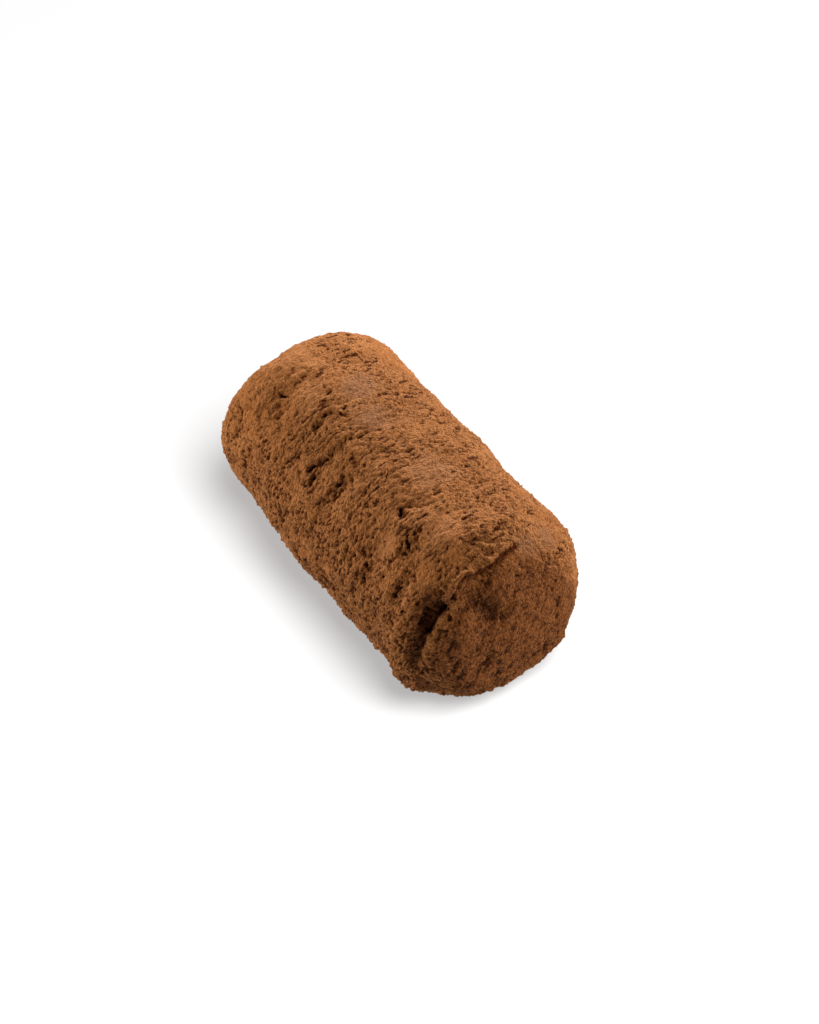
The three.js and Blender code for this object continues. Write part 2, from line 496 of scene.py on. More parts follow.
@dataclass(frozen=True)
class Traced:
    """A mark as it lies on the crust.

    Attributes:
        kind: What it does.
        line: An array (n, 3) of places that it passes through, in millimetres.
        width: How wide it is across, in millimetres.
        height: Its height or depth in millimetres, or the share of colour rubbed off.
    """

    kind: Kind
    line: np.ndarray
    width: float
    height: float

    def shape(self, skin: "Skin", torn: np.ndarray, mottled: np.ndarray) -> None:
        """Raises or cuts the mark in the crust and paints its shade, unless it is a pressed patch.

        Args:
            skin: The crust's points.
            torn: How far an edge strays at each point, in millimetres.
            mottled: How dark the painted shade in a hollow is at each point, as a share.
        """
        if self.kind is Kind.EDGE:
            self._lip(skin, torn)
        elif self.kind in (Kind.LUMP, Kind.DENT):
            self._swell(skin, mottled)
        elif self.kind in (Kind.PIT, Kind.CRACK):
            self._cut(skin, torn, mottled)

    def _lip(self, skin: "Skin", torn: np.ndarray) -> None:
        """Raises a ragged lip on the line's left, and paints shade on what lies under it.

        Args:
            skin: The crust's points.
            torn: How far an edge strays at each point, in millimetres.
        """
        left = self.leftward(skin.points, skin.normals) + LIP_TORN * torn
        lip = ramp(left, -LIP_EASE, LIP_EASE) * np.exp(-np.maximum(left, 0) / self.width)
        drop = ramp(left, LIP_EASE, -LIP_EASE) * np.exp(np.minimum(left, 0) / self.width)
        skin.height += self.height * (lip - LIP_DROP * drop)
        # Shade painted on the crust under the lip
        near, wide = ramp(left, *SHADE_NEAR), ramp(left, *SHADE_WIDE)
        under = ramp(left, UNDER_EASE, -UNDER_EASE) * (NEAR_SHARE * near + WIDE_SHARE * wide)
        skin.shade(under * min(self.height / LIP_FULL_SHADE, 1))

    def _swell(self, skin: "Skin", mottled: np.ndarray) -> None:
        """Raises a soft lump and clears painted shade from it, or sinks a soft dent and paints shade
        in it.

        Args:
            skin: The crust's points.
            mottled: How dark the painted shade in a hollow is at each point, as a share.
        """
        gap = self.gap(skin.points) / (self.width / 2)
        bell = np.exp(-(gap**2))
        if self.kind is Kind.LUMP:
            skin.height += self.height * bell
            skin.hollow *= 1 - LUMP_CLEARS * bell
        else:
            skin.height -= self.height * bell
            skin.shade(DENT_SHADE * (self.height * bell) * mottled)

    def _cut(self, skin: "Skin", torn: np.ndarray, mottled: np.ndarray) -> None:
        """Cuts a pit or a crack with torn walls, and paints shade in it.

        Args:
            skin: The crust's points.
            torn: How far an edge strays at each point, in millimetres.
            mottled: How dark the painted shade in a hollow is at each point, as a share.
        """
        gap = self.gap(skin.points) / (max(self.width, LEAST_WIDTH) / 2) + PIT_TORN * torn
        depth = ramp(gap, *PIT_WALL)
        skin.height -= self.height * depth
        skin.shade(depth * mottled * min(self.height / PIT_FULL_SHADE, 1))

    def gap(self, points: np.ndarray) -> np.ndarray:
        """Gives each point's distance from the line, in millimetres."""
        return np.linalg.norm(self.offset(points)[0], axis=1)

    def offset(self, points: np.ndarray) -> tuple[np.ndarray, np.ndarray]:
        """Finds the nearest place on the line for each point.

        Args:
            points: An array (n, 3) of places in millimetres.

        Returns:
            The way from the line to each point, and the line's direction there.
        """
        away = points - self.line[0]
        along = np.zeros_like(points)
        nearest = np.linalg.norm(away, axis=1)
        for start, stop in zip(self.line[:-1], self.line[1:]):
            leg = stop - start
            share = np.clip((points - start) @ leg / max(leg @ leg, 1e-9), 0, 1)
            step = points - start - share[:, None] * leg
            gap = np.linalg.norm(step, axis=1)
            closer = gap <= nearest
            away[closer], along[closer] = step[closer], leg / max(np.linalg.norm(leg), 1e-9)
            nearest = np.minimum(nearest, gap)
        return away, along

    def leftward(self, points: np.ndarray, normals: np.ndarray) -> np.ndarray:
        """Gives each point's distance to the left of the line.

        Args:
            points: An array (n, 3) of places in millimetres.
            normals: The crust's outward directions there.

        Returns:
            An array (n,) in millimetres, negative on the right.
        """
        away, along = self.offset(points)
        side = np.einsum("ij,ij->i", np.cross(normals, along), away)
        return np.copysign(np.linalg.norm(away, axis=1), side)


# --------------------------------------------------------------------------------------------
# The crust
# --------------------------------------------------------------------------------------------


# How craggy the crust is at each angle round the log, in degrees from +Y over the top
CRAGS = (
    (0.0, 1.0),
    (30.0, 0.95),
    (75.0, 1.0),
    (95.0, 0.9),
    (135.0, 1.0),
    (180.0, 1.4),
    (220.0, 1.4),
    (360.0, 1.0),
)
# The places along the log, in millimetres, between which its far end grows calmer, by a share
FAR_END, FAR_CALM = (-8.0, -16.0), 0.3
# Which way the crust faces, by a part of its direction: X for the cut end, Z for the upper and
# the lower side, and Y for the side that the seen marks are on
CUT_END = (0.62, 0.9)
UPPER_SIDE = (0.5, 0.9)
LOWER_SIDE = (0.4, -0.1)
MARKED_SIDE = (0.3, -0.3)
# What the finished crust keeps of each point
KNOWN = ("hollow", "smooth", "rubbed", "cut", "loose")


@dataclass
class Skin:
    """The crust's points in millimetres, their outward directions, and what is known of each.

    Attributes:
        points: The points.
        normals: Their outward directions.
        height: How far each is moved outwards.
        hollow: How much shade is painted on it for its depth, from 0 to 1.
        smooth: How far fingers pressed it smooth, from 0 to 1.
        cut: How far it belongs to the cut end, from 0 to 1.
        crag: How craggy the crust is there.
        rubbed: How far its powder is rubbed off, from 0 to 1.
        loose: How loose the powder is there.
    """

    points: np.ndarray
    normals: np.ndarray
    height: np.ndarray = field(init=False)
    hollow: np.ndarray = field(init=False)
    smooth: np.ndarray = field(init=False)
    cut: np.ndarray = field(init=False)
    crag: np.ndarray = field(init=False)
    rubbed: np.ndarray = field(init=False)
    loose: np.ndarray = field(init=False)

    def __post_init__(self) -> None:
        """Starts each point level, and finds how craggy it is and if it is on the cut end."""
        for name in ("height", "hollow", "smooth", "rubbed"):
            setattr(self, name, np.zeros(len(self.points)))
        self.cut = ramp(self.normals[:, 0], *CUT_END) * (self.points[:, 0] > 0)
        around = np.degrees(np.arctan2(self.normals[:, 2], self.normals[:, 1]))
        turns, crags = zip(*CRAGS)
        self.crag = np.interp(around % 360, turns, crags)
        self.crag *= 1 - FAR_CALM * ramp(self.points[:, 0], *FAR_END)
        self.loose = self.crag

    def shade(self, dark: np.ndarray) -> None:
        """Paints shade: makes each point at least as dark as this."""
        self.hollow = np.maximum(self.hollow, dark)


@dataclass(frozen=True)
class Relief:
    """The clods, flakes, holes, streaks and grains that cover the whole crust.

    Attributes:
        stretch: How much longer a clod is round the log than along it.
        firmed: How much looseness pressing takes away.
        warp: Bends the clods, so that none runs straight.
        clods: The clods, from the broadest.
        crease: Where the crease between two clods lies, as a share of a clod's height.
        torn: Makes the flakes' edges ragged.
        flakes: Thin layers that end in small cliffs.
        swells: Low swells under the clods.
        holes: Holes where clods have come away.
        holed: The parts of the crust that have holes.
        shaded: How far below the rest a place is fully dark with painted shade, in millimetres.
        cut_calm: How much calmer the cut end is.
        upper_calm: How much calmer the upper side is.
        specks: Small pits with shade painted in them.
        brushing: The short strokes across the upper side.
        brush_bend: How much of the warp bends them.
        brushed: The parts where shade is painted in the strokes' troughs.
        folds: The long folds low on the log, with shade painted in their troughs.
        far_folds: The share of them that the far side has.
        grain: The finest relief that the crust's faces can hold.
        dusting: How far each point strays by itself, in millimetres.
        drag: Which way the cut end was dragged.
        dragged: The share of that way that the streaks leave out, which makes them longer.
        streaks: The streaks on the cut end, with shade painted in their troughs.
        bulges: The low bulges of the cut end, with shade painted between them.
    """

    stretch: float = 2.1
    firmed: float = 0.3
    warp: Texture = Texture(1.3, 71, 0.35)
    clods: tuple[Texture, ...] = (
        Texture(2.4, 11, 0.08, pressed=0.9),
        Texture(1.3, 12, 0.09, pressed=0.85),
        Texture(0.75, 13, 0.14, pressed=0.6),
        Texture(0.45, 14, 0.21, pressed=0.2),
    )
    crease: float = 0.3
    torn: Texture = Texture(0.4, 93, 0.3)
    flakes: tuple[Texture, ...] = (
        Texture(1.1, 91, 0.06, edge=(-0.06, 0.1), pressed=0.8),
        Texture(0.6, 92, 0.1, edge=(-0.08, 0.1), pressed=0.8),
    )
    swells: Texture = Texture(0.6, 53, 0.09)
    holes: Texture = Texture(1.0, 23, 0.16, 4, edge=(0.28, 0.5))
    holed: Texture = Texture(2.6, 22, octaves=3, edge=(-0.05, 0.35))
    shaded: float = 0.22
    cut_calm: float = 0.5
    upper_calm: float = 0.3
    specks: Texture = Texture(0.55, 97, 0.16, 2, edge=(0.3, 0.6), pressed=0.6, squeeze=0.8)
    brushing: Texture = Texture(1.3, 63, 0.2, 3, edge=(0.08, 0.38), pressed=0.5, squeeze=3.6)
    brush_bend: float = 0.3
    brushed: Texture = Texture(2.8, 65, octaves=3, edge=(-0.35, 0.25), pressed=0.6)
    folds: Texture = Texture(1.1, 57, 0.24, 2, edge=(0.0, 0.5), squeeze=0.4, shade=0.5)
    far_folds: float = 0.25
    grain: Texture = Texture(0.35, 51, 0.07)
    dusting: float = 0.012
    drag: Triple = (0.0, 0.43, 0.90)
    dragged: float = 0.6
    streaks: Texture = Texture(0.6, 31, 0.36, 3, edge=(0.05, 0.5), shade=0.75)
    bulges: Texture = Texture(1.8, 35, 0.2, 2, edge=(0.1, 0.6), shade=0.2)

    def lay(self, skin: Skin) -> None:
        """Adds all of it to the crust, from the broadest to the finest.

        Args:
            skin: The crust's points, which take it.
        """
        size, seed = self.warp.size, self.warp.seed
        warp = np.stack([waves(skin.points, size, seed + k) for k in range(3)], axis=1)
        skin.loose = skin.crag * (1 - self.firmed * skin.smooth)
        upper = ramp(skin.normals[:, 2], *UPPER_SIDE) * (1 - skin.cut)
        self._clods(skin, warp, upper)
        self._strokes(skin, warp, upper)
        self._folds(skin)
        self._grain(skin)
        self._cut_end(skin)

    def _clods(self, skin: Skin, warp: np.ndarray, upper: np.ndarray) -> None:
        """Adds the clods with their flakes, and the holes and specks between them, with shade painted
        in the holes, the specks and the low places.

        Args:
            skin: The crust's points, which take it.
            warp: How far each point is bent aside.
            upper: How far each point is on the upper side, from 0 to 1.
        """
        squeeze = np.ones_like(skin.points)
        squeeze[:, 0] = 1 + (self.stretch - 1) * (1 - skin.cut)
        bent = skin.points * squeeze + self.warp.height * warp
        relief = sum(
            clod.height * (np.abs(clod.over(bent)) - self.crease) * clod.kept(skin.smooth)
            for clod in self.clods
        )
        torn = self.torn.height * self.torn.over(bent)
        relief += sum(
            flake.height * (flake.spots(flake.over(bent) + torn) - 0.5) * flake.kept(skin.smooth)
            for flake in self.flakes
        )
        skin.height += self.swells.height * skin.crag * self.swells.over(bent) * (1 - skin.cut)

        holes = self.holes.spots(-self.holes.over(bent))
        holes *= self.holed.spots(self.holed.over(skin.points))
        loose = skin.loose * (1 - self.cut_calm * skin.cut - self.upper_calm * upper)
        skin.height += loose * (relief - self.holes.height * holes)
        # Shade painted in the holes and where the relief is low
        skin.hollow = np.clip(loose * (holes - relief / self.shaded), 0, 1)
        # Small pits with shade painted in them
        specks = loose * self.specks.spots(-self.specks.over(bent))
        specks *= self.specks.kept(skin.smooth)
        skin.height -= self.specks.height * specks
        skin.shade(specks)

    def _strokes(self, skin: Skin, warp: np.ndarray, upper: np.ndarray) -> None:
        """Adds the short strokes across the upper side, with shade painted in some of their troughs.

        Args:
            skin: The crust's points, which take it.
            warp: How far each point is bent aside.
            upper: How far each point is on the upper side, from 0 to 1.
        """
        stroke = self.brushing.over(skin.points, self.brush_bend * warp)
        skin.height += self.brushing.height * upper * stroke * self.brushing.kept(skin.smooth)
        # Shade painted in the strokes' troughs, where the upper side is brushed
        where = upper * self.brushed.spots(self.brushed.over(skin.points))
        skin.shade(where * self.brushing.spots(-stroke) * self.brushed.kept(skin.smooth))

    def _folds(self, skin: Skin) -> None:
        """Adds the long folds low on the log, with shade painted in their troughs.

        Args:
            skin: The crust's points, which take it.
        """
        low = ramp(skin.normals[:, 2], *LOWER_SIDE) * (1 - skin.cut)
        marked = ramp(skin.normals[:, 1], *MARKED_SIDE)
        low *= self.far_folds + (1 - self.far_folds) * marked
        fold = self.folds.over(skin.points)
        skin.height += self.folds.height * low * fold
        # Shade painted in the folds' troughs
        skin.shade(low * self.folds.spots(-fold) * self.folds.shade)

    def _grain(self, skin: Skin) -> None:
        """Adds the finest relief.

        Args:
            skin: The crust's points, which take it.
        """
        draw = np.random.default_rng(SEED + 7)
        stray = self.dusting * draw.normal(size=len(skin.points))
        fine = self.grain.height * self.grain.over(skin.points) + stray
        skin.height += fine * (1 + skin.loose + skin.cut) / 2

    def _cut_end(self, skin: Skin) -> None:
        """Adds the streaks and the bulges of the cut end, with shade painted in their low places.

        Args:
            skin: The crust's points, which take it.
        """
        drag = np.array(self.drag)
        along = self.dragged * (skin.points @ drag)
        streak = self.streaks.over(skin.points - along[:, None] * drag)
        bulge = self.bulges.over(skin.points)
        skin.height += skin.cut * (self.streaks.height * streak + self.bulges.height * bulge)
        # Shade painted in the streaks' and bulges' low places
        dark = self.streaks.spots(-streak) * self.streaks.shade
        dark += self.bulges.spots(-bulge) * self.bulges.shade
        skin.shade(skin.cut * dark)


@dataclass(frozen=True)
class HiddenMarks:
    """The marks out of the camera's sight; a pair is the least and the most in millimetres.

    Attributes:
        count: How many there are.
        kinds: Their kinds.
        shares: How many of them are of each kind, as a share.
        patch: How wide a pressed patch is.
        rubbed: The share of its colour that is rubbed off.
        pit: How wide a pit is.
        pit_depth: How deep it is.
        reach: How far a crack reaches each way.
        crack: How wide a crack is.
        crack_depth: How deep it is.
        wander: How far a crack strays from going round the log.
        kink: How far its middle strays.
        axis_height: How high the log's axis lies.
    """

    count: int = 120
    kinds: tuple[Kind, ...] = (Kind.PIT, Kind.CRACK, Kind.PRESSED)
    shares: tuple[float, ...] = (0.6, 0.3, 0.1)
    patch: Span = (3.0, 5.0)
    rubbed: float = 0.3
    pit: Span = (0.4, 0.9)
    pit_depth: Span = (0.25, 0.6)
    reach: Span = (0.5, 1.4)
    crack: Span = (0.3, 0.6)
    crack_depth: Span = (0.25, 0.55)
    wander: float = 0.35
    kink: float = 0.15
    axis_height: float = 10.0

    def one(self, draw: np.random.Generator, middle: np.ndarray) -> Traced:
        """Draws one mark.

        Args:
            draw: Where the random numbers come from.
            middle: Its place in millimetres.

        Returns:
            The mark.
        """
        kind = draw.choice(self.kinds, p=self.shares)
        if kind is Kind.PRESSED:
            return Traced(kind, middle[None], draw.uniform(*self.patch), self.rubbed)
        if kind is Kind.PIT:
            width, depth = draw.uniform(*self.pit), draw.uniform(*self.pit_depth)
            return Traced(kind, middle[None], width, depth)
        radial = middle - np.array([middle[0], 0.0, self.axis_height])
        along = np.cross([1.0, 0.0, 0.0], radial / max(np.linalg.norm(radial), 1e-6))
        along += draw.normal(0, self.wander, 3)
        along *= draw.uniform(*self.reach)
        line = np.array([middle - along, middle, middle + along])
        line[1] += draw.normal(0, self.kink, 3)
        return Traced(kind, line, draw.uniform(*self.crack), draw.uniform(*self.crack_depth))


def keep(mesh: bpy.types.Mesh, name: str, values: np.ndarray) -> None:
    """Keeps a value for each point of a mesh, for its finish to read.

    Args:
        mesh: The mesh.
        name: What the value is called.
        values: An array (n,).
    """
    attribute = mesh.attributes.new(name, "FLOAT", "POINT")
    attribute.data.foreach_set("value", values.astype(np.float32))


@dataclass
class Crust:
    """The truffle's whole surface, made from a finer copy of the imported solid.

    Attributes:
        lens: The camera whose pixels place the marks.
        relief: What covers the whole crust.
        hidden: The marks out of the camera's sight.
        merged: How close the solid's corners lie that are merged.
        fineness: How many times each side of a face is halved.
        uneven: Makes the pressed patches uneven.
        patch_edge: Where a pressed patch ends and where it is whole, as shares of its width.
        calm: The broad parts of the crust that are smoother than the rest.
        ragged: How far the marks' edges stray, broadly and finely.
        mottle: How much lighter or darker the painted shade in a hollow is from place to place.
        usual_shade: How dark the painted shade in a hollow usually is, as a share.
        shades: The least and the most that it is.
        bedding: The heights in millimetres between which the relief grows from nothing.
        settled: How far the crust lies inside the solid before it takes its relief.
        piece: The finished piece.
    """

    lens: Lens
    relief: Relief = Relief()
    hidden: HiddenMarks = HiddenMarks()
    merged: float = 0.001 * MM
    fineness: int = 2
    uneven: Texture = Texture(2.4, 5, 0.45, 3)
    patch_edge: Span = (0.62, 0.22)
    calm: Texture = Texture(5.5, 61, 0.55, 3, edge=(0.15, 0.5))
    ragged: tuple[Texture, ...] = (Texture(1.0, 41, 0.55, 3), Texture(0.4, 45, 0.35))
    mottle: Texture = Texture(0.35, 47, 0.6)
    usual_shade: float = 0.75
    shades: Span = (0.3, 1.0)
    bedding: Span = (0.0, 1.6)
    settled: float = 0.08
    piece: bpy.types.Object | None = None

    def build(self, node: bpy.types.Object) -> bpy.types.Object:
        """Makes the crust.

        Args:
            node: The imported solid, which is copied and left as it is.

        Returns:
            The finished piece.
        """
        self.piece = self._finer_copy(node)
        skin = self._read()
        marks = self._traced(skin)
        self._press(skin, marks)
        self.relief.lay(skin)
        self._mark(skin, marks)
        self._write(skin)
        return self.piece

    def _finer_copy(self, node: bpy.types.Object) -> bpy.types.Object:
        """Copies the solid, merges its corners, pairs its triangles and divides its faces.

        Args:
            node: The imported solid.

        Returns:
            The copy.
        """
        coarse = bmesh.new()
        coarse.from_mesh(node.data)
        bmesh.ops.remove_doubles(coarse, verts=coarse.verts, dist=self.merged)
        bmesh.ops.join_triangles(
            coarse,
            faces=coarse.faces,
            angle_face_threshold=math.pi,
            angle_shape_threshold=math.pi,
        )
        mesh = bpy.data.meshes.new("cocoa_crust")
        coarse.to_mesh(mesh)
        coarse.free()
        piece = bpy.data.objects.new("cocoa_crust", mesh)
        bpy.context.scene.collection.objects.link(piece)
        finer = piece.modifiers.new("finer", "SUBSURF")
        finer.levels = finer.render_levels = self.fineness
        scene = bpy.context.evaluated_depsgraph_get()
        piece.data = bpy.data.meshes.new_from_object(piece.evaluated_get(scene))
        piece.data.name = "cocoa_crust"
        piece.modifiers.clear()
        piece.data.attributes.active_color_index = -1
        return piece

    def _read(self) -> Skin:
        """Reads the piece's points and directions.

        Returns:
            The crust's points, still level.
        """
        mesh = self.piece.data
        points = np.empty(len(mesh.vertices) * 3)
        normals = np.empty(len(mesh.vertices) * 3)
        mesh.vertices.foreach_get("co", points)
        mesh.vertex_normals.foreach_get("vector", normals)
        return Skin(points.reshape(-1, 3) / MM, normals.reshape(-1, 3))

    def _traced(self, skin: Skin) -> list[Traced]:
        """Lays the seen marks on the crust by lines of sight, and scatters the hidden ones.

        Args:
            skin: The crust's points.

        Returns:
            All the marks, the seen ones first.
        """
        mesh = self.piece.data
        tree = BVHTree.FromPolygons(
            [v.co for v in mesh.vertices], [p.vertices for p in mesh.polygons]
        )
        eye = self.lens.eye()
        marks = []
        for mark in SEEN_MARKS:
            hits = [tree.ray_cast(eye, self.lens.sight(p))[0] for p in mark.at]
            line = np.array([hit for hit in hits if hit is not None]) / MM
            if len(line):
                marks.append(Traced(mark.kind, line, mark.width, mark.height))
        draw = np.random.default_rng(SEED)
        away = skin.points - np.array(eye) / MM
        unseen = np.flatnonzero(np.einsum("ij,ij->i", skin.normals, away) > 0)
        middles = skin.points[draw.choice(unseen, self.hidden.count)]
        return marks + [self.hidden.one(draw, middle) for middle in middles]

    def _press(self, skin: Skin, marks: Iterable[Traced]) -> None:
        """Finds where the crust was pressed smooth.

        Args:
            skin: The crust's points.
            marks: The marks on it.
        """
        uneven = 1 + self.uneven.height * self.uneven.over(skin.points)
        outer, inner = self.patch_edge
        for mark in marks:
            if mark.kind is Kind.PRESSED:
                gap = mark.gap(skin.points) * uneven
                patch = ramp(gap, mark.width * outer, mark.width * inner)
                skin.smooth = np.maximum(skin.smooth, patch)
                skin.rubbed = np.maximum(skin.rubbed, patch * mark.height)
        calm = self.calm.height * self.calm.spots(self.calm.over(skin.points))
        skin.smooth = np.maximum(skin.smooth, calm)

    def _mark(self, skin: Skin, marks: Iterable[Traced]) -> None:
        """Cuts the pits and cracks, raises the lumps and lips, and paints the shade that goes with
        them.

        Args:
            skin: The crust's points.
            marks: The marks on it.
        """
        torn = sum(texture.height * texture.over(skin.points) for texture in self.ragged)
        mottled = self.usual_shade + self.mottle.height * self.mottle.over(skin.points)
        mottled = np.clip(mottled, *self.shades)
        for mark in marks:
            mark.shape(skin, torn, mottled)

    def _write(self, skin: Skin) -> None:
        """Moves the piece's points, and keeps what is known of them for the finish.

        Args:
            skin: The crust's points, with their heights.
        """
        free = ramp(skin.points[:, 2], *self.bedding)
        moved = skin.points + skin.normals * ((skin.height - self.settled) * free)[:, None]
        moved[:, 2] = np.maximum(moved[:, 2], 0.0)
        skin.hollow = np.clip(skin.hollow, 0, 1)
        mesh = self.piece.data
        mesh.vertices.foreach_set("co", (moved * MM).ravel())
        for name in KNOWN:
            keep(mesh, name, getattr(skin, name))
        mesh.polygons.foreach_set("use_smooth", np.ones(len(mesh.polygons), bool))
        mesh.update()


# --------------------------------------------------------------------------------------------
# Loose crumbs
# --------------------------------------------------------------------------------------------


@dataclass(frozen=True)
class Ground:
    """The faces of the crust that crumbs can lie on.

    Attributes:
        middles: Their middles in millimetres.
        normals: Their outward directions.
        areas: Their areas.
        facts: What the crust keeps at each, by name.
    """

    middles: np.ndarray
    normals: np.ndarray
    areas: np.ndarray
    facts: dict[str, np.ndarray]

    @classmethod
    def of(cls, crust: bpy.types.Object) -> "Ground":
        """Reads the crust's faces.

        Args:
            crust: The finished crust.

        Returns:
            The ground that it gives.
        """
        mesh = crust.data
        count = len(mesh.polygons)
        middles, normals = np.empty(count * 3), np.empty(count * 3)
        areas, first = np.empty(count), np.empty(count, int)
        mesh.polygons.foreach_get("center", middles)
        mesh.polygons.foreach_get("normal", normals)
        mesh.polygons.foreach_get("area", areas)
        mesh.polygons.foreach_get("loop_start", first)
        corner = np.empty(len(mesh.loops), int)
        mesh.loops.foreach_get("vertex_index", corner)
        facts = {}
        for name in KNOWN:
            values = np.empty(len(mesh.vertices))
            mesh.attributes[name].data.foreach_get("value", values)
            facts[name] = values[corner[first]]
        return cls(middles.reshape(-1, 3) / MM, normals.reshape(-1, 3), areas, facts)


@dataclass(frozen=True)
class Scatter:
    """Where crumbs lie.

    Attributes:
        cluster: How broad a cluster of crumbs is, in millimetres.
        edge: The strengths of noise at which a cluster begins and is whole.
        between: How thickly they lie between clusters, where it is 1 more in a cluster.
        fewer_smooth: The share of them that is missing where the crust is smooth.
        fewer_hollow: The share that is missing in the deepest hollows.
        fewer_cut: The share that is missing on the cut end.
        clear: How high above the table the lowest lie, in millimetres.
        stray: How far they stray from a face's middle, in millimetres.
        level: The share of that which is left out along the crust's direction.
    """

    cluster: float = 2.2
    edge: Span = (-0.35, 0.45)
    between: float = 0.5
    fewer_smooth: float = 0.5
    fewer_hollow: float = 0.75
    fewer_cut: float = 0.4
    clear: float = 0.15
    stray: float = 0.07
    level: float = 0.6

    def over(
        self, ground: Ground, count: int, seed: int, draw: np.random.Generator
    ) -> tuple[np.ndarray, Ground]:
        """Picks places on the crust, more of them where it is loose.

        Args:
            ground: The crust's faces.
            count: How many places.
            seed: Which pattern of clusters.
            draw: Where the random numbers come from.

        Returns:
            The places in millimetres, and the face that each is on.
        """
        facts = ground.facts
        clusters = ramp(rough(ground.middles, self.cluster, seed), *self.edge)
        wanted = ground.areas * (1 - self.fewer_smooth * facts["smooth"])
        wanted *= (self.between + clusters) * (1 - self.fewer_hollow * facts["hollow"])
        wanted *= 1 - self.fewer_cut * facts["cut"]
        wanted *= ground.middles[:, 2] > self.clear
        chosen = draw.choice(len(wanted), count, p=wanted / wanted.sum())
        stray = draw.normal(0, self.stray, (count, 3))
        outward = ground.normals[chosen]
        stray -= self.level * np.sum(stray * outward, axis=1, keepdims=True) * outward
        known = {name: values[chosen] for name, values in facts.items()}
        middles = ground.middles[chosen]
        return middles + stray, Ground(middles, outward, ground.areas[chosen], known)


@dataclass(frozen=True)
class Tones:
    """How light crumbs are, from 0 for the darkest colour to 1 for loose powder.

    Attributes:
        usual: How light the lightest usually are.
        cut_lighter: How much lighter they are on the cut end.
        spread: How much darker some are than others.
        common: The usual share of that spread.
        spread_smooth: The share of the spread that is left out where the crust is smooth.
        spread_cut: How many times wider the spread is on the cut end, besides the first.
        drift: The darker drifts across the log.
        broad: Broad lighter and darker parts.
        smooth_darker: How much darker they are where the crust is smooth.
        deep_darker: How much shade is painted on them in the deepest hollows.
        limits: The darkest and the lightest.
    """

    usual: float = 1.08
    cut_lighter: float = 0.18
    spread: float = 0.4
    common: float = 0.8
    spread_smooth: float = 0.4
    spread_cut: float = 2.8
    drift: Texture = Texture(0.8, 81, 0.25, 2, edge=(0.0, 0.6), pressed=0.5, squeeze=1.6)
    broad: Texture = Texture(2.0, 85, 0.3, 2, squeeze=1.2)
    smooth_darker: float = 0.15
    deep_darker: float = 0.95
    limits: Span = (0.1, 1.0)

    def over(
        self, places: np.ndarray, facts: dict[str, np.ndarray], draw: np.random.Generator
    ) -> np.ndarray:
        """Gives each crumb its tone.

        Args:
            places: Where the crumbs lie, in millimetres.
            facts: What the crust keeps there.
            draw: Where the random numbers come from.

        Returns:
            An array (n,) of tones.
        """
        smooth, cut = facts["smooth"], facts["cut"]
        spread = self.spread * facts["loose"] * (1 - self.spread_smooth * smooth)
        spread *= 1 + self.spread_cut * cut
        tone = self.usual + self.cut_lighter * cut
        tone -= spread * draw.gamma(1.0, self.common, len(places))
        drift = self.drift.spots(self.drift.over(places)) * self.drift.kept(smooth)
        tone += self.broad.height * self.broad.over(places) - self.drift.height * drift
        # Darker where pressed smooth, and painted shade where the crust is deepest
        tone -= self.smooth_darker * smooth + self.deep_darker * facts["hollow"]
        return np.clip(tone, *self.limits)


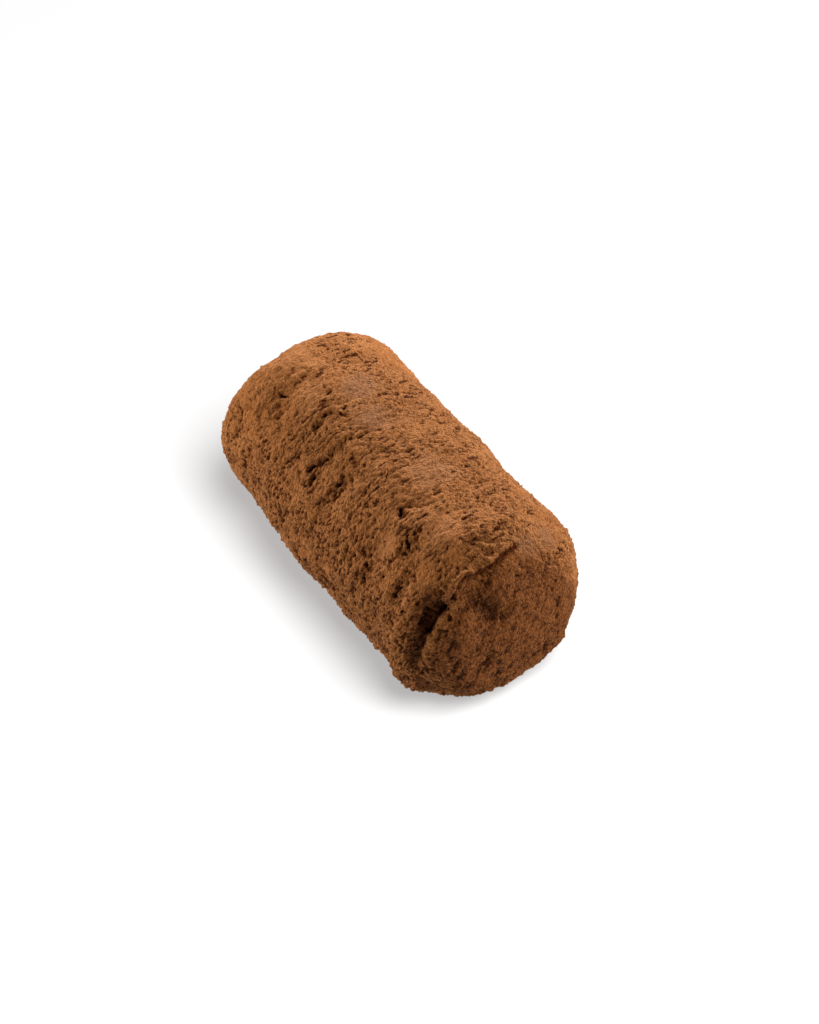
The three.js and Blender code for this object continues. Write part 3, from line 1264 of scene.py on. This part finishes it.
@dataclass(frozen=True)
class Crumbs:
    """Crumbs of one kind of cocoa, half sunk in the crust, as one joined mesh.

    Attributes:
        name: The piece's name.
        count: How many there are.
        small: The smallest crumb's size in millimetres.
        large: The largest crumb's size in millimetres.
        rings: How many rings of corners a crumb has round it, plus one; 1 for a flake.
        sunk: The share of a crumb's size that its middle lies below the crust.
        seed: Which set of crumbs.
        small_more: The power that makes small crumbs more common than large ones.
        smooth_smaller: The share by which they are smaller where the crust is smooth.
        turned: How far each is turned from lying round the log.
        least: The least of a crumb's reach along the log, round it and outwards, as shares.
        most: The most of it.
        knobbly: How far its corners are moved in or out, as a share.
        flake: How high a flake of unit radius is.
        scatter: Where the crumbs lie.
        tones: How light they are.
        read: What the finish reads of each crumb.
    """

    name: str
    count: int
    small: float
    large: float
    rings: int
    sunk: float
    seed: int
    small_more: float = 1.6
    smooth_smaller: float = 0.3
    turned: float = 0.5
    least: Triple = (0.7, 0.9, 0.45)
    most: Triple = (1.0, 1.4, 0.75)
    knobbly: float = 0.3
    flake: float = 1.2
    scatter: Scatter = Scatter()
    tones: Tones = Tones()
    read: tuple[str, ...] = ("rubbed", "cut", "tone")

    def build(self, ground: Ground) -> bpy.types.Object:
        """Scatters the crumbs over the crust.

        Args:
            ground: The crust's faces.

        Returns:
            The joined crumbs.
        """
        draw = np.random.default_rng(self.seed)
        places, under = self.scatter.over(ground, self.count, self.seed, draw)
        corners, triangles = self._shapes(places, under, draw)
        mesh = bpy.data.meshes.new(self.name)
        mesh.from_pydata((corners.reshape(-1, 3) * MM).tolist(), [], triangles.tolist())
        facts = {**under.facts, "tone": self.tones.over(places, under.facts, draw)}
        for name in self.read:
            keep(mesh, name, np.repeat(facts[name], corners.shape[1]))
        piece = bpy.data.objects.new(self.name, mesh)
        bpy.context.scene.collection.objects.link(piece)
        return piece

    def _shapes(
        self, places: np.ndarray, under: Ground, draw: np.random.Generator
    ) -> tuple[np.ndarray, np.ndarray]:
        """Shapes each crumb, turns it and sinks it in the crust.

        Args:
            places: Where the crumbs lie, in millimetres.
            under: The face under each.
            draw: Where the random numbers come from.

        Returns:
            Each crumb's corners in millimetres, and the triangles of them all.
        """
        shape, faces = self._one()
        normals = under.normals
        size = self.small + (self.large - self.small) * draw.random(self.count) ** self.small_more
        size *= 1 - self.smooth_smaller * under.facts["smooth"]
        round_log = np.cross(normals, [1.0, 0.0, 0.0])
        side = np.cross(normals, round_log + draw.normal(0, self.turned, (self.count, 3)))
        side /= np.linalg.norm(side, axis=1, keepdims=True)
        frame = np.stack([side, np.cross(normals, side), normals], axis=1)
        reach = draw.uniform(self.least, self.most, (self.count, 3))
        bumps = 1 + draw.uniform(-self.knobbly, self.knobbly, (self.count, len(shape)))
        local = shape[None] * bumps[..., None] * reach[:, None] * (size / 2)[:, None, None]
        corners = np.einsum("nij,njk->nik", local, frame)
        corners += (places - normals * (self.sunk * size)[:, None])[:, None]
        corners[..., 2] = np.maximum(corners[..., 2], 0.0)
        offset = np.arange(self.count)[:, None, None] * len(shape)
        return corners, (faces[None] + offset).reshape(-1, 3)

    def _one(self) -> tuple[np.ndarray, np.ndarray]:
        """Makes one round crumb or flake of unit radius.

        Returns:
            Its points, and its triangles.
        """
        ball = bmesh.new()
        if self.rings == 1:
            bmesh.ops.create_cone(
                ball, cap_ends=True, segments=3, radius1=1.0, radius2=0.0, depth=self.flake
            )
        else:
            bmesh.ops.create_uvsphere(
                ball, u_segments=2 * self.rings, v_segments=self.rings, radius=1.0
            )
        bmesh.ops.triangulate(ball, faces=ball.faces)
        points = np.array([v.co for v in ball.verts])
        faces = np.array([[v.index for v in f.verts] for f in ball.faces])
        ball.free()
        return points, faces


# --------------------------------------------------------------------------------------------
# Finishes
# --------------------------------------------------------------------------------------------


class Signal:
    """A socket that carries a value, with Python's operators for Math nodes."""

    def __init__(self, tree: bpy.types.NodeTree, socket: bpy.types.NodeSocket) -> None:
        """Wraps a socket of a node tree."""
        self.tree = tree
        self.socket = socket

    def _maths(self, operation: str, *terms: "Signal | float") -> "Signal":
        """Adds a Math node.

        Args:
            operation: What it works out.
            terms: Signals or plain numbers.

        Returns:
            What it gives.
        """
        node = self.tree.nodes.new("ShaderNodeMath")
        node.operation = operation
        for place, term in zip(node.inputs, terms):
            if isinstance(term, Signal):
                self.tree.links.new(term.socket, place)
            else:
                place.default_value = term
        return Signal(self.tree, node.outputs[0])

    def __add__(self, other: "Signal | float") -> "Signal":
        """Gives the sum."""
        return self._maths("ADD", self, other)

    def __mul__(self, other: "Signal | float") -> "Signal":
        """Gives the product."""
        return self._maths("MULTIPLY", self, other)

    def __sub__(self, other: "Signal | float") -> "Signal":
        """Gives the difference."""
        return self._maths("SUBTRACT", self, other)

    def __rsub__(self, other: float) -> "Signal":
        """Gives the difference from a number."""
        return self._maths("SUBTRACT", other, self)

    __radd__ = __add__
    __rmul__ = __mul__

    def least(self, other: "Signal | float") -> "Signal":
        """Gives the smaller of the two."""
        return self._maths("MINIMUM", self, other)

    def between(self, low: float, high: float) -> "Signal":
        """Eases from 0 at low to 1 at high; low may be the larger.

        Args:
            low: The value that gives 0.
            high: The value that gives 1.

        Returns:
            The eased value.
        """
        node = self.tree.nodes.new("ShaderNodeMapRange")
        node.interpolation_type = "SMOOTHSTEP"
        self.tree.links.new(self.socket, node.inputs["Value"])
        flip = low > high
        node.inputs["From Min"].default_value = high if flip else low
        node.inputs["From Max"].default_value = low if flip else high
        node.inputs["To Min"].default_value = 1.0 if flip else 0.0
        node.inputs["To Max"].default_value = 0.0 if flip else 1.0
        return Signal(self.tree, node.outputs["Result"])


NOISE_DETAIL = 3.0
GRAIN_SMOOTHNESS = 0.35


class Palette:
    """The nodes of one material, and short ways to add to them."""

    def __init__(self, name: str) -> None:
        """Starts a material with no nodes.

        Args:
            name: The material's name.
        """
        self.material = bpy.data.materials.new(name)
        self.material.use_nodes = True
        self.tree = self.material.node_tree
        self.tree.nodes.clear()

    def node(
        self,
        kind: str,
        settings: dict[str, object] | None = None,
        inputs: dict[str | int, object] | None = None,
    ) -> bpy.types.Node:
        """Adds a node.

        Args:
            kind: The node's type.
            settings: Its settings, which are made first.
            inputs: A value, socket or signal for each of its sockets that is used.

        Returns:
            The node.
        """
        node = self.tree.nodes.new(kind)
        for name, value in (settings or {}).items():
            setattr(node, name, value)
        for name, value in (inputs or {}).items():
            socket = value.socket if isinstance(value, Signal) else value
            if isinstance(socket, bpy.types.NodeSocket):
                self.tree.links.new(socket, node.inputs[name])
            else:
                node.inputs[name].default_value = socket
        return node

    def signal(self, node: bpy.types.Node, output: str | int = 0) -> Signal:
        """Wraps one of a node's outputs."""
        return Signal(self.tree, node.outputs[output])

    def attribute(self, name: str) -> Signal:
        """Reads what the mesh knows of each point."""
        node = self.node("ShaderNodeAttribute", {"attribute_name": name})
        return self.signal(node, "Fac")

    def millimetres(self, squeeze: Sequence[float] = (1, 1, 1)) -> bpy.types.NodeSocket:
        """Gives places on the object in millimetres.

        Args:
            squeeze: How many times they are stretched along each axis, which squeezes a pattern.

        Returns:
            A socket that carries them.
        """
        places = self.node("ShaderNodeTexCoord").outputs["Object"]
        scale = tuple(s / MM for s in squeeze)
        node = self.node(
            "ShaderNodeVectorMath", {"operation": "MULTIPLY"}, {0: places, 1: scale}
        )
        return node.outputs[0]

    def noise(self, places: bpy.types.NodeSocket, size: float, ragged: float = 0.75) -> Signal:
        """Adds cloudy noise.

        Args:
            places: Places in millimetres.
            size: The size of its clouds in millimetres.
            ragged: How ragged they are, from 0 to 1.

        Returns:
            A value from 0 to 1.
        """
        node = self.node(
            "ShaderNodeTexNoise",
            {"noise_dimensions": "3D"},
            {"Vector": places, "Scale": 1 / size, "Detail": NOISE_DETAIL, "Roughness": ragged},
        )
        return self.signal(node, "Fac")

    def grains(self, places: bpy.types.NodeSocket, size: float) -> Signal:
        """Adds rounded grains.

        Args:
            places: Places in millimetres.
            size: The size of a grain in millimetres.

        Returns:
            The distance to the nearest grain's middle, from 0.
        """
        node = self.node(
            "ShaderNodeTexVoronoi",
            {"feature": "SMOOTH_F1"},
            {"Vector": places, "Scale": 1 / size, "Smoothness": GRAIN_SMOOTHNESS},
        )
        return self.signal(node, "Distance")

    def blend(self, share: Signal, first: object, second: object) -> bpy.types.NodeSocket:
        """Mixes two colours.

        Args:
            share: How much of the second colour.
            first: A colour, or a socket that carries one.
            second: A colour, or a socket that carries one.

        Returns:
            A socket that carries the mixed colour.
        """
        node = self.node("ShaderNodeMix", {"data_type": "RGBA"})
        self.tree.links.new(share.socket, node.inputs[0])
        for place, colour in ((node.inputs[6], first), (node.inputs[7], second)):
            if isinstance(colour, bpy.types.NodeSocket):
                self.tree.links.new(colour, place)
            else:
                place.default_value = (*colour, 1.0)
        return node.outputs[2]

    def finish(self, settings: dict[str, object]) -> bpy.types.Material:
        """Adds the shader and the output.

        Args:
            settings: A value, socket or signal for each of the shader's sockets that is used.

        Returns:
            The finished material.
        """
        shader = self.node("ShaderNodeBsdfPrincipled", None, settings)
        self.node("ShaderNodeOutputMaterial", None, {"Surface": shader.outputs[0]})
        return self.material


@dataclass(frozen=True)
class Grain:
    """One kind of grain in the powder.

    Attributes:
        size: Its size in millimetres.
        height: How high it stands, as a share of the bump's depth.
    """

    size: float
    height: float


@dataclass(frozen=True)
class CocoaFinish:
    """Dry cocoa powder over ganache: matt, grainy, and dark where it is hollow, by painted shade.

    Attributes:
        name: The material's name.
        powder: The powder's colour where it lies loose.
        packed: Its colour where it is thin or packed.
        pressed: Its colour where fingers rubbed it.
        cut_face: Its colour on the cut face.
        dark_tone_and_shade: The dark colour that the darkest crumbs take, and that paints shade in
            hollows and between grains.
        patch: How broad a patch of packed powder is, in millimetres, and how ragged.
        patch_edge: The strengths of noise at which such a patch begins and is whole.
        squeeze: How many times shorter a clump is along the log than round it.
        clumps: The largest grains.
        grit: The smaller ones.
        dust: The finest.
        crumb_dust: The finest on a crumb.
        cut_grain: How high the grain of the cut end is, besides its looseness.
        bump_depth: How deep the grain of the crust is for its height.
        crumb_depth: The same on a crumb.
        gap: The distances from a grain's middle at which the painted shade between grains begins and
            is darkest.
        between: How much shade is painted between its grains, from 0 to 1.
        between_cut: How much more shade is painted there on the cut end.
        ragged: How far dust frays the edges of the painted shade in hollows.
        hollow: The strengths of painted shade at which the dark colour begins to show and is whole.
        sheen: How much the crust's powder glows at grazing angles.
        crumb_sheen: How much the crumbs do.
        sheen_tint: The glow's colour.
        sheen_roughness: How broad the glow is.
        roughness: How matt the powder is.
    """

    name: str = "cocoa_powder"
    powder: Colour = (0.455, 0.169, 0.049)
    packed: Colour = (0.40, 0.142, 0.038)
    pressed: Colour = (0.31, 0.125, 0.047)
    cut_face: Colour = (0.42, 0.134, 0.034)
    dark_tone_and_shade: Colour = (0.085, 0.016, 0.001)
    patch: Span = (3.2, 0.55)
    patch_edge: Span = (0.35, 0.65)
    squeeze: float = 1.6
    clumps: Grain = Grain(0.42, 0.12)
    grit: Grain = Grain(0.22, 0.10)
    dust: Grain = Grain(0.13, 0.16)
    crumb_dust: Grain = Grain(0.12, 0.15)
    cut_grain: float = 0.8
    bump_depth: float = 2 * MM
    crumb_depth: float = MM
    gap: Span = (0.4, 0.85)
    between: float = 0.6
    between_cut: float = 0.5
    ragged: float = 0.7
    hollow: Span = (0.15, 0.75)
    sheen: float = 0.12
    crumb_sheen: float = 0.32
    sheen_tint: Colour = (1.0, 0.8, 0.55)
    sheen_roughness: float = 0.35
    roughness: float = 0.95

    def build(self) -> bpy.types.Material:
        """Makes the material of the crust itself.

        Returns:
            The material.
        """
        palette = Palette(self.name)
        evenly = palette.millimetres()
        clumps = palette.grains(palette.millimetres((self.squeeze, 1, 1)), self.clumps.size)
        grit = palette.grains(evenly, self.grit.size)
        dust = palette.noise(evenly, self.dust.size)
        hollow, loose = palette.attribute("hollow"), palette.attribute("loose")
        cut = palette.attribute("cut")

        height = self.clumps.height * (1 - clumps) + self.grit.height * (1 - grit)
        height = (height + self.dust.height * dust) * (loose + cut * self.cut_grain)
        # Painted shade between the grains and in the hollows, mixed towards the dark colour
        gaps = clumps.between(*self.gap) * 0.5 + grit.between(*self.gap) * 0.5
        gaps = gaps * (self.between + cut * self.between_cut) * loose.least(1.0)
        ragged = (dust - 0.5) * self.ragged + hollow
        dark = (ragged.between(*self.hollow) + gaps).least(1.0)
        colour = palette.blend(dark, self._surface(palette), self.dark_tone_and_shade)
        return self._matt(palette, colour, height, self.bump_depth, self.sheen)

    def crumbs(self) -> bpy.types.Material:
        """Makes the material of the loose crumbs, each with a tone of its own.

        Returns:
            The material.
        """
        palette = Palette(f"{self.name}_loose")
        tone = palette.attribute("tone")
        # Each crumb's tone mixes in the dark colour, which also carries the shade painted in the
        # deepest hollows
        colour = palette.blend(tone, self.dark_tone_and_shade, self._surface(palette))
        dust = palette.noise(palette.millimetres(), self.crumb_dust.size)
        height = dust * self.crumb_dust.height
        return self._matt(palette, colour, height, self.crumb_depth, self.crumb_sheen)

    def _surface(self, palette: Palette) -> bpy.types.NodeSocket:
        """Colours the powder from place to place.

        Args:
            palette: The material's nodes.

        Returns:
            A socket that carries the colour.
        """
        packed = palette.noise(palette.millimetres(), *self.patch).between(*self.patch_edge)
        colour = palette.blend(packed, self.powder, self.packed)
        colour = palette.blend(palette.attribute("rubbed"), colour, self.pressed)
        return palette.blend(palette.attribute("cut"), colour, self.cut_face)

    def _matt(
        self,
        palette: Palette,
        colour: bpy.types.NodeSocket,
        height: Signal,
        depth: float,
        sheen: float,
    ) -> bpy.types.Material:
        """Finishes a matt material with a soft glow.

        Args:
            palette: The material's nodes.
            colour: A socket that carries its colour.
            height: The height of its grain.
            depth: How deep the grain is for its height.
            sheen: How much it glows at grazing angles.

        Returns:
            The material.
        """
        bump = palette.node(
            "ShaderNodeBump", None, {"Height": height, "Distance": depth, "Strength": 1.0}
        )
        return palette.finish(
            {
                "Base Color": colour,
                "Normal": bump.outputs["Normal"],
                "Roughness": self.roughness,
                "Specular IOR Level": 0.0,
                "Sheen Weight": sheen,
                "Sheen Roughness": self.sheen_roughness,
                "Sheen Tint": (*self.sheen_tint, 1.0),
            }
        )


# --------------------------------------------------------------------------------------------
# The studio
# --------------------------------------------------------------------------------------------


@dataclass(frozen=True)
class Softbox:
    """One soft lamp, aimed at the truffle, that lights one set of objects.

    Attributes:
        name: Its name.
        azimuth: Where it stands, in degrees round from -Y towards +X.
        elevation: How high it stands, in degrees.
        distance: How far away it is.
        size: How wide it is.
        watts: Its power.
        colour: Its colour.
    """

    name: str
    azimuth: float
    elevation: float
    distance: float
    size: float
    watts: float
    colour: Colour = (1.0, 1.0, 1.0)

    def build(self, lit: Iterable[bpy.types.Object]) -> bpy.types.Object:
        """Adds the lamp to the scene.

        Args:
            lit: The objects that it lights.

        Returns:
            The lamp.
        """
        way = direction(self.azimuth, self.elevation)
        data = bpy.data.lights.new(self.name, "AREA")
        data.shape = "DISK"
        data.size = self.size
        data.energy = self.watts
        data.color = self.colour
        lamp = bpy.data.objects.new(self.name, data)
        lamp.location = way * self.distance
        lamp.rotation_euler = way.to_track_quat("Z", "Y").to_euler()
        bpy.context.scene.collection.objects.link(lamp)
        group = bpy.data.collections.new(f"lit_by_{self.name}")
        for thing in lit:
            group.objects.link(thing)
        lamp.light_linking.receiver_collection = group
        return lamp


@dataclass
class Studio:
    """A pale table in a dim room, and its lamps.

    Four lamps light the truffle alone, and two the table alone, so that the truffle's shadow
    stays small and right under it.

    Attributes:
        floor_size: How wide the table is.
        floor_drop: How far it lies below the truffle.
        floor_colour: Its colour.
        floor_roughness: How matt it is.
        floor_glow: How much it glows by itself.
        room: How strong the room's own light is.
        truffle: The lamps that light the truffle.
        table: The lamps that light the table.
    """

    floor_size: float = 1.6
    floor_drop: float = 0.05 * MM
    floor_colour: Colour = (0.28, 0.28, 0.28)
    floor_roughness: float = 0.9
    floor_glow: float = 0.45
    room: float = 0.03
    truffle: tuple[Softbox, ...] = (
        Softbox("back_lamp", 207.0, 24.0, 0.5, 0.08, 4.1, (0.95, 1.02, 1.24)),
        Softbox("side_lamp", 286.0, 21.0, 0.5, 0.08, 2.45, (0.98, 1.0, 1.08)),
        Softbox("front_lamp", 148.0, 28.0, 0.5, 0.06, 2.65),
        Softbox("low_lamp", 335.0, 5.0, 0.5, 0.16, 2.7),
    )
    table: tuple[Softbox, ...] = (
        Softbox("table_lamp_front", 90.0, 62.0, 0.9, 0.5, 17.0),
        Softbox("table_lamp_side", 129.0, 72.0, 0.9, 0.5, 4.2),
    )

    def build(self, pieces: Sequence[bpy.types.Object]) -> None:
        """Adds the floor, the room's light and the lamps.

        Args:
            pieces: The truffle's pieces.
        """
        floor = self._floor()
        world = bpy.data.worlds.new("room")
        world.use_nodes = True
        background = world.node_tree.nodes["Background"]
        background.inputs["Color"].default_value = WHITE
        background.inputs["Strength"].default_value = self.room
        bpy.context.scene.world = world
        for lamp in self.truffle:
            lamp.build(pieces)
        for lamp in self.table:
            lamp.build([floor])
        bpy.context.scene.view_settings.view_transform = "Standard"

    def _floor(self) -> bpy.types.Object:
        """Adds the table's top.

        Returns:
            The table, which belongs to the studio and not to the truffle.
        """
        sheet = bmesh.new()
        bmesh.ops.create_grid(sheet, x_segments=1, y_segments=1, size=self.floor_size / 2)
        bmesh.ops.translate(sheet, verts=sheet.verts, vec=(0, 0, -self.floor_drop))
        mesh = bpy.data.meshes.new("floor")
        sheet.to_mesh(mesh)
        sheet.free()
        floor = bpy.data.objects.new("floor", mesh)
        bpy.context.scene.collection.objects.link(floor)
        paint = Palette("white_table").finish(
            {
                "Base Color": (*self.floor_colour, 1.0),
                "Roughness": self.floor_roughness,
                "Specular IOR Level": 0.0,
                "Emission Color": WHITE,
                "Emission Strength": self.floor_glow,
            }
        )
        mesh.materials.append(paint)
        return floor


# --------------------------------------------------------------------------------------------
# Putting it together
# --------------------------------------------------------------------------------------------


def dress(piece: bpy.types.Object, material: bpy.types.Material) -> None:
    """Gives a piece its material and its body, hides the imported solid, and logs the piece's faces.

    Args:
        piece: The piece.
        material: Its material.
    """
    piece.data.materials.clear()
    piece.data.materials.append(material)
    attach(piece, "root")
    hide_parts("truffle")
    LOG.info("%s: %d faces", piece.name, len(piece.data.polygons))


def main() -> None:
    """Builds the truffle and the studio, and reports each piece."""
    logging.basicConfig(level=logging.INFO, format="%(message)s")
    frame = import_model()

    lens = Lens()
    lens.build()

    finish = CocoaFinish()
    cocoa, loose_cocoa = finish.build(), finish.crumbs()
    crust = Crust(lens).build(frame["nodes"]["truffle"])
    dress(crust, cocoa)

    ground = Ground.of(crust)
    kinds = (
        Crumbs("cocoa_dust", 48000, 0.13, 0.22, rings=1, sunk=0.2, seed=SEED + 4),
        Crumbs("fine_powder", 24000, 0.15, 0.26, rings=2, sunk=0.3, seed=SEED + 1),
        Crumbs("coarse_powder", 14000, 0.24, 0.4, rings=2, sunk=0.42, seed=SEED + 2),
        Crumbs("small_clods", 2500, 0.35, 0.58, rings=3, sunk=0.54, seed=SEED + 3),
    )
    pieces = [crust]
    for kind in kinds:
        piece = kind.build(ground)
        dress(piece, loose_cocoa)
        pieces.append(piece)
    Studio().build(pieces)


if __name__ == "__main__":
    main()
